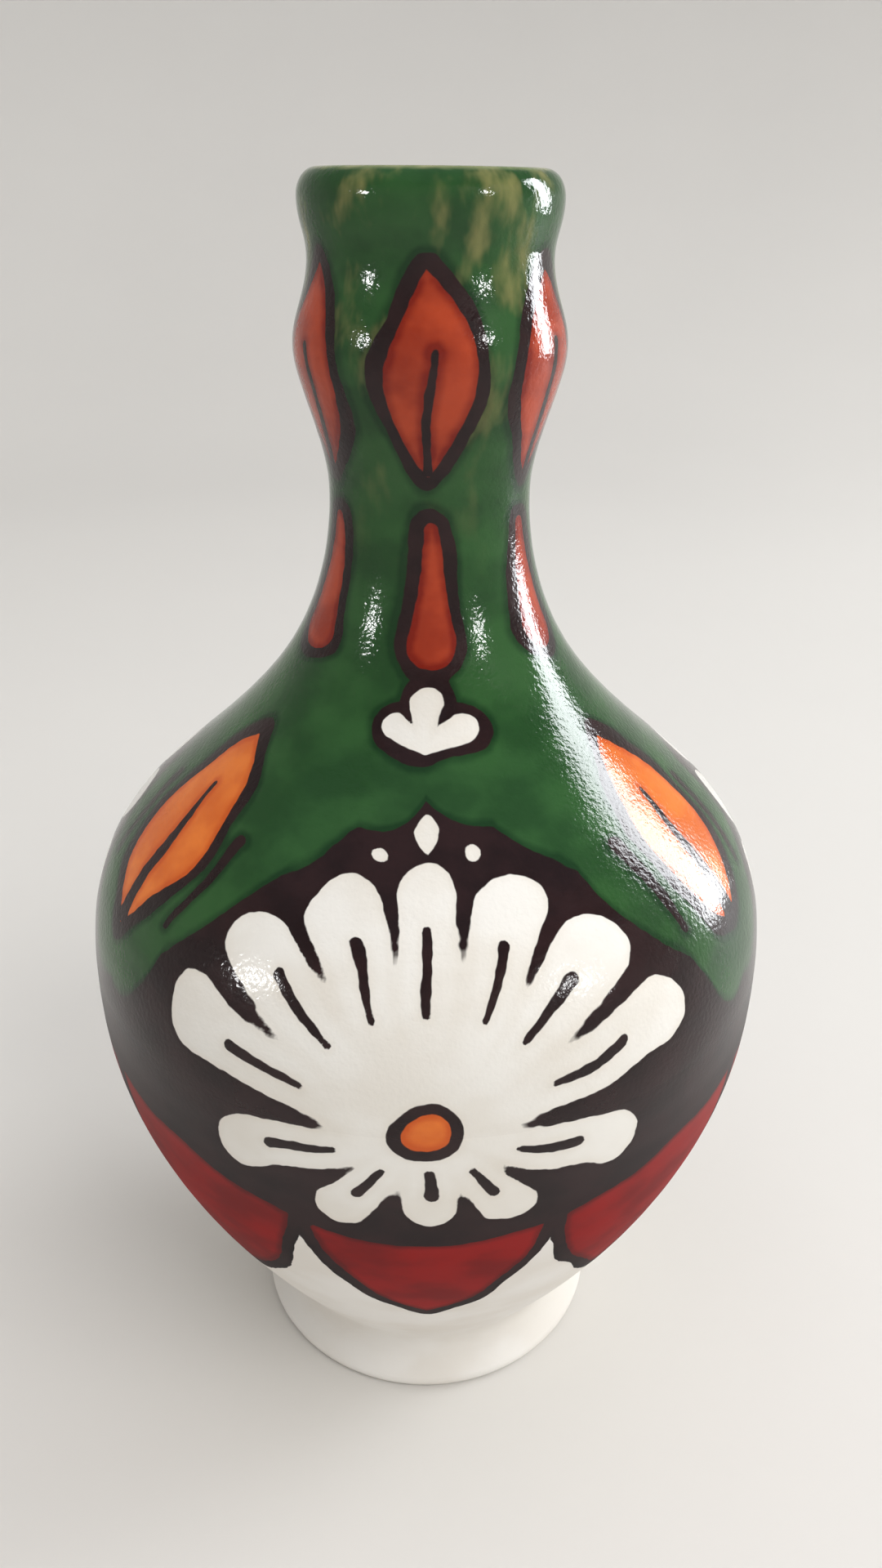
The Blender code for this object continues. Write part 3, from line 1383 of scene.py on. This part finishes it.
class Graph:
    """Short ways to add and join the nodes of one material."""

    def __init__(self, material: bpy.types.Material) -> None:
        """Empty a material's node tree and add the place and height that its patterns read.

        Args:
            material: The material.
        """
        material.use_nodes = True
        self.tree = material.node_tree
        self.tree.nodes.clear()
        self.place = self.node("ShaderNodeTexCoord").outputs["Object"]
        parts = self.node("ShaderNodeSeparateXYZ")
        self.feed(parts.inputs[0], self.place)
        self.height = parts.outputs["Z"]

    def node(self, kind: str, **settings: object) -> bpy.types.Node:
        """Add a node.

        Args:
            kind: Its type.
            **settings: Its own properties.

        Returns:
            The node.
        """
        made = self.tree.nodes.new(kind)
        for name, value in settings.items():
            setattr(made, name, value)
        return made

    def feed(self, socket: Socket, value: object) -> None:
        """Link a socket to another node's output, or set its value.

        Args:
            socket: The socket.
            value: An output, a number or a colour.
        """
        if isinstance(value, Socket):
            self.tree.links.new(value, socket)
        elif socket.type == "RGBA":
            socket.default_value = (*value, 1.0)
        else:
            socket.default_value = value

    def math(self, operation: str, *values: object, clamp: bool = False) -> Socket:
        """Add a Math node.

        Args:
            operation: What it does.
            *values: Its outputs or numbers, in order.
            clamp: Whether the result is held between 0 and 1.

        Returns:
            The result.
        """
        made = self.node("ShaderNodeMath", operation=operation, use_clamp=clamp)
        for socket, value in zip(made.inputs, values):
            self.feed(socket, value)
        return made.outputs[0]

    def mix(self, share: Socket, low: object, high: object) -> Socket:
        """Mix two colours.

        Args:
            share: How much of the second colour is taken.
            low: The first colour.
            high: The second colour.

        Returns:
            The mixed colour.
        """
        made = self.node("ShaderNodeMix", data_type="RGBA")
        self.feed(made.inputs["Factor"], share)
        self.feed(made.inputs[MIX_FIRST], low)
        self.feed(made.inputs[MIX_SECOND], high)
        return made.outputs[MIX_RESULT]

    def span(
        self, value: Socket, low: float, high: float, to_low: float = 0.0, to_high: float = 1.0
    ) -> Socket:
        """Carry a value smoothly from one span to another, held at both ends.

        Args:
            value: The value.
            low: Where it starts to count.
            high: Where it stops.
            to_low: Result at low.
            to_high: Result at high.

        Returns:
            The result.
        """
        made = self.node("ShaderNodeMapRange", interpolation_type="SMOOTHSTEP")
        names = ("Value", "From Min", "From Max", "To Min", "To Max")
        for name, number in zip(names, (value, low, high, to_low, to_high)):
            self.feed(made.inputs[name], number)
        return made.outputs[0]

    def noise(self, size: float, detail: float = 2.0, upright: float = 1.0) -> Socket:
        """Add noise in Object coordinates.

        Args:
            size: Size of its lumps in metres.
            detail: How many finer layers it has.
            upright: How much shorter the lumps are upright than across.

        Returns:
            Its value, about 0.3 to 0.7.
        """
        mapping = self.node("ShaderNodeMapping")
        self.feed(mapping.inputs["Vector"], self.place)
        mapping.inputs["Scale"].default_value = (1.0 / size, 1.0 / size, upright / size)
        made = self.node("ShaderNodeTexNoise")
        for name, value in (("Vector", mapping.outputs[0]), ("Scale", 1.0), ("Detail", detail)):
            self.feed(made.inputs[name], value)
        return made.outputs[0]

    def waver(self, size: float, detail: float) -> Socket:
        """Return noise moved down by its middle, so that it wavers about 0."""
        return self.math("SUBTRACT", self.noise(size, detail), 0.5)

    def field(self, area: Paint) -> Socket:
        """Return an area's signed distance from the vertices."""
        return self.node("ShaderNodeAttribute", attribute_name=area.value).outputs["Fac"]

    def shade(self, inputs: dict[str, object]) -> None:
        """Add the surface shader and make it the material's output.

        Args:
            inputs: What it is fed, by the names of its inputs.
        """
        shader = self.node("ShaderNodeBsdfPrincipled")
        for name, value in inputs.items():
            self.feed(shader.inputs[name], value)
        output = self.node("ShaderNodeOutputMaterial")
        self.feed(output.inputs["Surface"], shader.outputs[0])


@dataclass(frozen=True)
class Pigment:
    """A ceramic colour as it fires: thin and thick tones, its mottling and pooled edges.

    Attributes:
        area: Area that it covers.
        thin: Tone where it lies thin.
        thick: Tone where it lies thick.
        mottle: Size of its clouds.
        pooling: How much thicker it lies along its edge.
        edge: Half the width of its brushed edge.
        clouding: Noise levels at which a cloud starts and is full.
        cloud_share: How thick it lies in a full cloud.
        cloud_upright: How much shorter the clouds are upright than across.
        pool: Distances inside the edge over which it pools.
    """

    area: Paint
    thin: Colour
    thick: Colour
    mottle: float
    pooling: float
    edge: float = 0.00010
    clouding: Span = (0.34, 0.66)
    cloud_share: float = 0.6
    cloud_upright: float = 1.4
    pool: Span = (-0.0016, -0.0001)

    def tone(self, graph: Graph, distance: Socket) -> Socket:
        """Return the colour over the area: cloudy thick and thin, and thicker along its edge.

        Args:
            graph: The material's nodes.
            distance: Signed distance to the area's edge.

        Returns:
            The colour.
        """
        cloud = graph.noise(self.mottle, detail=3.0, upright=self.cloud_upright)
        cloud = graph.span(cloud, *self.clouding)
        rim = graph.span(distance, *self.pool, 0.0, self.pooling)
        share = graph.math("MULTIPLY_ADD", cloud, self.cloud_share, rim, clamp=True)
        return graph.mix(share, self.thin, self.thick)

    def cover(self, graph: Graph, distance: Socket) -> Socket:
        """Return 1 inside the area and 0 outside, with a soft brushed edge."""
        return graph.span(distance, self.edge, -self.edge)


@dataclass(frozen=True)
class StreakedPigment(Pigment):
    """A pigment that turns to another, paler tone in upright streaks towards the top of the pot.

    Attributes:
        other: The tone in the streaks.
        rise: Heights at which the streaks start and are full.
        streak: Width of the streaks.
        streak_upright: How much shorter they are upright than across; below 1 is longer.
        between: Noise levels at which a streak starts and is full.
        most: Largest share of the other tone.
    """

    other: Colour = srgb(154, 146, 92)
    rise: Span = (0.160, 0.214)
    streak: float = 0.0050
    streak_upright: float = 0.45
    between: Span = (0.50, 0.74)
    most: float = 0.55

    def tone(self, graph: Graph, distance: Socket) -> Socket:
        """Return the colour over the area, with the streaks mixed in.

        Args:
            graph: The material's nodes.
            distance: Signed distance to the area's edge.

        Returns:
            The colour.
        """
        usual = super().tone(graph, distance)
        streaks = graph.noise(self.streak, detail=3.0, upright=self.streak_upright)
        streaks = graph.span(streaks, *self.between)
        upper = graph.span(graph.height, *self.rise, 0.0, self.most)
        return graph.mix(graph.math("MULTIPLY", upper, streaks), usual, self.other)


@dataclass(frozen=True)
class PaintedGlaze:
    """The whole finish: pigments over cream slip, under a clear glaze with a fine orange peel.

    Attributes:
        slip: The cream that covers the clay.
        pigments: Colours over it, in the order of painting.
        neck_roughness: Roughness of the glaze on the neck.
        body_roughness: Roughness on the belly.
        foot_roughness: Roughness from the lower wall down.
        foot_span: Heights between which the foot's roughness turns to the belly's.
        neck_span: Heights between which the belly's turns to the neck's.
        patch_size: Size of the patches of uneven gloss.
        patch_depth: How much rougher or smoother they are.
        patch_span: Heights between which they set in.
        clay_edge: Half the width of the bare clay's edge.
        clay_roughness: How much rougher bare clay is.
        peel_size: Size of the orange peel.
        peel_depth: Its depth.
        swell_size: Size of the slow swells of the glaze.
        swell_depth: Their depth.
        calm: Share of both on the lower wall.
        calm_span: Heights between which they reach their full depth.
        bend: Index of refraction.
        brush_waver: How far painted edges stray, both ways together.
        brush_size: Length over which they stray.
    """

    slip: Pigment
    pigments: tuple[Pigment, ...]
    neck_roughness: float = 0.10
    body_roughness: float = 0.16
    foot_roughness: float = 0.80
    foot_span: Span = (0.058, 0.104)
    neck_span: Span = (0.100, 0.150)
    patch_size: float = 0.006
    patch_depth: float = 0.12
    patch_span: Span = (0.100, 0.120)
    clay_edge: float = 0.0002
    clay_roughness: float = 0.5
    peel_size: float = 0.0008
    peel_depth: float = 0.000070
    swell_size: float = 0.0075
    swell_depth: float = 0.000060
    calm: float = 0.06
    calm_span: Span = (0.076, 0.112)
    bend: float = 1.35
    brush_waver: float = 0.00060
    brush_size: float = 0.0022

    def material(self) -> bpy.types.Material:
        """Make the glaze as a node material.

        Returns:
            The material.
        """
        made = bpy.data.materials.new("painted_glaze")
        graph = Graph(made)
        wobble = graph.waver(self.brush_size, detail=1.0)
        wobble = graph.math("MULTIPLY", wobble, self.brush_waver)
        colour = self.slip.tone(graph, graph.field(Paint.CLAY))
        for pigment in self.pigments:
            distance = graph.math("ADD", graph.field(pigment.area), wobble)
            tone = pigment.tone(graph, distance)
            colour = graph.mix(pigment.cover(graph, distance), colour, tone)
        graph.shade(
            {
                "Base Color": colour,
                "Roughness": self.roughness(graph),
                "Normal": self.surface(graph),
                "IOR": self.bend,
            }
        )
        return made

    def roughness(self, graph: Graph) -> Socket:
        """Return the roughness: glossy on the neck, satin on the body, drier on foot and clay.

        Args:
            graph: The material's nodes.

        Returns:
            The roughness.
        """
        low = graph.span(graph.height, *self.foot_span, self.foot_roughness, self.body_roughness)
        fall = self.body_roughness - self.neck_roughness
        level = graph.math("SUBTRACT", low, graph.span(graph.height, *self.neck_span, 0.0, fall))
        depth = graph.span(graph.height, *self.patch_span, 0.0, self.patch_depth)
        patch = graph.waver(self.patch_size, detail=3.0)
        level = graph.math("MULTIPLY_ADD", patch, depth, level)
        bare = graph.field(Paint.CLAY)
        clay = graph.span(bare, self.clay_edge, -self.clay_edge, 0.0, self.clay_roughness)
        return graph.math("ADD", level, clay, clamp=True)

    def surface(self, graph: Graph) -> Socket:
        """Return the bumped normal: slow swells of the glaze with a fine peel on them.

        Args:
            graph: The material's nodes.

        Returns:
            The normal.
        """
        strength = graph.span(graph.height, *self.calm_span, self.calm, 1.0)
        swell = graph.node("ShaderNodeBump")
        peel = graph.node("ShaderNodeBump")
        graph.feed(peel.inputs["Normal"], swell.outputs[0])
        for bump, size, depth, detail in (
            (swell, self.swell_size, self.swell_depth, 1.0),
            (peel, self.peel_size, self.peel_depth, 2.0),
        ):
            graph.feed(bump.inputs["Distance"], depth)
            graph.feed(bump.inputs["Strength"], strength)
            graph.feed(bump.inputs["Height"], graph.noise(size, detail))
        return peel.outputs[0]


VASE_GLAZE = PaintedGlaze(
    slip=Pigment(Paint.CLAY, srgb(234, 231, 226), srgb(222, 216, 207), 0.020, 0.0),
    pigments=(
        Pigment(Paint.GROUND, srgb(42, 25, 26), srgb(20, 11, 13), 0.009, 0.5),
        StreakedPigment(Paint.GREEN, srgb(46, 86, 44), srgb(20, 54, 25), 0.012, 0.7),
        Pigment(Paint.RED, srgb(142, 9, 6), srgb(94, 2, 3), 0.013, 0.7),
        Pigment(Paint.RUST, srgb(178, 67, 36), srgb(122, 27, 11), 0.010, 0.6),
        Pigment(Paint.ORANGE, srgb(230, 124, 50), srgb(200, 86, 27), 0.010, 0.6),
        # Pale band along the lip's crest: thin glaze, and partly a painted highlight on the lip's
        # edge
        Pigment(Paint.RIM, srgb(104, 126, 78), srgb(172, 168, 124), 0.006, 0.0, 0.0007),
        Pigment(Paint.CREAM, srgb(236, 233, 227), srgb(225, 219, 209), 0.016, 0.3),
        Pigment(Paint.CLAY, srgb(205, 178, 148), srgb(178, 146, 114), 0.004, 0.0),
    ),
)


@dataclass(frozen=True)
class Backdrop:
    """A pale round sweep: a level floor whose edge rises on all sides into a plain wall.

    Attributes:
        half_width: Half the side of the sheet.
        level_radius: Radius of the level floor.
        rise_length: Radius of the bend into the wall, where it starts.
        steps: Faces along a side.
        tone: Colour of the paper.
        shade: Share of that colour in its darker clouds.
        cloud: Size of the clouds.
        roughness: Roughness of the paper.
    """

    half_width: float = 3.2
    level_radius: float = 0.8
    rise_length: float = 0.9
    steps: int = 120
    tone: Colour = srgb(222, 219, 214)
    shade: float = 0.95
    cloud: float = 0.25
    roughness: float = 0.7

    def build(self) -> bpy.types.Object:
        """Make the sweep: a square sheet, raised by the squared distance past the level floor.

        Returns:
            The sweep.
        """
        ticks = np.linspace(-self.half_width, self.half_width, self.steps + 1)
        across, along = np.meshgrid(ticks, ticks)
        past = np.maximum(np.hypot(across, along) - self.level_radius, 0.0)
        points = np.stack((across, along, past**2 / (2.0 * self.rise_length)), axis=-1)
        count = self.steps + 1
        corner = np.arange(self.steps)[:, None] * count + np.arange(self.steps)[None]
        quads = np.stack((corner, corner + 1, corner + count + 1, corner + count), axis=-1)
        made = smooth_mesh("studio_sweep", points.reshape(-1, 3), quads.reshape(-1, 4).tolist())
        sweep = shown("studio_sweep", made)
        return sweep

    def dress(self, sweep: bpy.types.Object) -> None:
        """Give the sweep matt pale paper with a faint unevenness.

        Args:
            sweep: The sweep.
        """
        made = bpy.data.materials.new("pale_paper")
        graph = Graph(made)
        darker = tuple(part * self.shade for part in self.tone)
        colour = graph.mix(graph.noise(self.cloud), darker, self.tone)
        graph.shade({"Base Color": colour, "Roughness": self.roughness})
        sweep.data.materials.append(made)


DAYLIGHT: Colour = (0.94, 0.97, 1.0)


@dataclass(frozen=True)
class Softbox:
    """A rectangular studio light aimed at the vase.

    It can be left out of what the glaze mirrors, or out of what lights the colours.
    """

    name: str
    place: Point
    size: tuple[float, float]
    power: float
    tint: Colour = (1.0, 1.0, 1.0)
    mirrored: bool = True
    lights: bool = True
    aim: Point = (0.0, 0.0, 0.110)

    def build(self) -> bpy.types.Object:
        """Make the light, facing its aim.

        Returns:
            The light.
        """
        lamp = bpy.data.lights.new(self.name, "AREA")
        lamp.shape = "RECTANGLE"
        lamp.size, lamp.size_y = self.size
        lamp.energy = self.power
        lamp.color = self.tint
        light = shown(self.name, lamp)
        light.location = self.place
        way = Vector(self.aim) - Vector(self.place)
        light.rotation_euler = way.to_track_quat("-Z", "Y").to_euler()
        light.visible_glossy = self.mirrored
        light.visible_diffuse = self.lights
        light.visible_camera = False
        return light


SOFTBOXES = (
    Softbox("key_front_right", (1.80, -1.60, 1.90), (1.80, 1.80), 54.0, mirrored=False),
    Softbox("side_right", (1.40, 0.48, 0.75), (0.70, 0.80), 12.0, DAYLIGHT, mirrored=False),
    Softbox("window_right", (0.84, 0.29, 0.42), (0.26, 0.70), 13.0, DAYLIGHT, lights=False),
    Softbox("lamp_left", (-0.72, -0.49, 0.40), (0.09, 0.09), 1.8, lights=False),
    Softbox("lamp_right", (0.65, -0.58, 0.46), (0.09, 0.09), 1.8, lights=False),
    Softbox("top_fill", (0.0, -0.10, 1.30), (1.20, 1.20), 7.5, mirrored=False),
)


@dataclass(frozen=True)
class Room:
    """Even pale light from all sides."""

    tint: Colour = (0.93, 0.95, 1.0)
    level: float = 0.40

    def build(self) -> bpy.types.World:
        """Make the world and take it into use.

        Returns:
            The world.
        """
        world = bpy.data.worlds.new("soft_room")
        world.use_nodes = True
        sky = world.node_tree.nodes["Background"]
        sky.inputs["Color"].default_value = (*self.tint, 1.0)
        sky.inputs["Strength"].default_value = self.level
        bpy.context.scene.world = world
        return world


@dataclass(frozen=True)
class View:
    """The camera, placed where the photograph was taken from.

    Attributes:
        away: Its distance in front of the vase's axis.
        height: Its height above the table.
        pitch: Its tilt down.
        yaw: Its turn about the upright.
        roll: Its turn about the line of sight.
        focal_pixels: Its focal length in pixels of the photograph.
        photo_height: Height of the photograph, its longer side, in pixels.
        film: Longer side of the film, in millimetres.
        near: Distance from which things are seen.
    """

    away: float = 0.1940
    height: float = 0.2167
    pitch: float = math.radians(26.66)
    yaw: float = math.radians(-0.68)
    roll: float = math.radians(0.52)
    focal_pixels: float = 1441.0
    photo_height: int = 1919
    film: float = 36.0
    near: float = 0.01

    def build(self) -> bpy.types.Object:
        """Make the camera and take it into use.

        Returns:
            The camera.
        """
        lens = bpy.data.cameras.new("photo_view")
        lens.sensor_width = self.film
        lens.lens = self.film * self.focal_pixels / self.photo_height
        lens.clip_start = self.near
        camera = shown("photo_view", lens)
        turn = (
            Matrix.Rotation(self.yaw, 4, "Z")
            @ Matrix.Rotation(math.pi / 2.0 - self.pitch, 4, "X")
            @ Matrix.Rotation(self.roll, 4, "Z")
        )
        camera.matrix_world = Matrix.Translation((0.0, -self.away, self.height)) @ turn
        bpy.context.scene.camera = camera
        return camera


def main() -> None:
    """Build the vase, its stage and the view."""
    logging.basicConfig(level=logging.INFO, format="%(name)s: %(message)s")
    line = OuterLine()
    ornament = Ornament(line)
    body = Body(line, ornament)
    glaze = VASE_GLAZE.material()
    for kind in (FootRing, Bowl, Shoulder, Neck, Mouth):
        section = kind(body=body)
        piece = section.build()
        section.dress(piece, glaze)
        LOG.info("%s stands for %s, %d faces", piece.name, section.node, len(piece.data.polygons))
    backdrop = Backdrop()
    backdrop.dress(backdrop.build())
    for softbox in SOFTBOXES:
        LOG.info("light %s", softbox.build().name)
    Room().build()
    View().build()
    bpy.context.scene.view_settings.view_transform = "Standard"


if __name__ == "__main__":
    main()
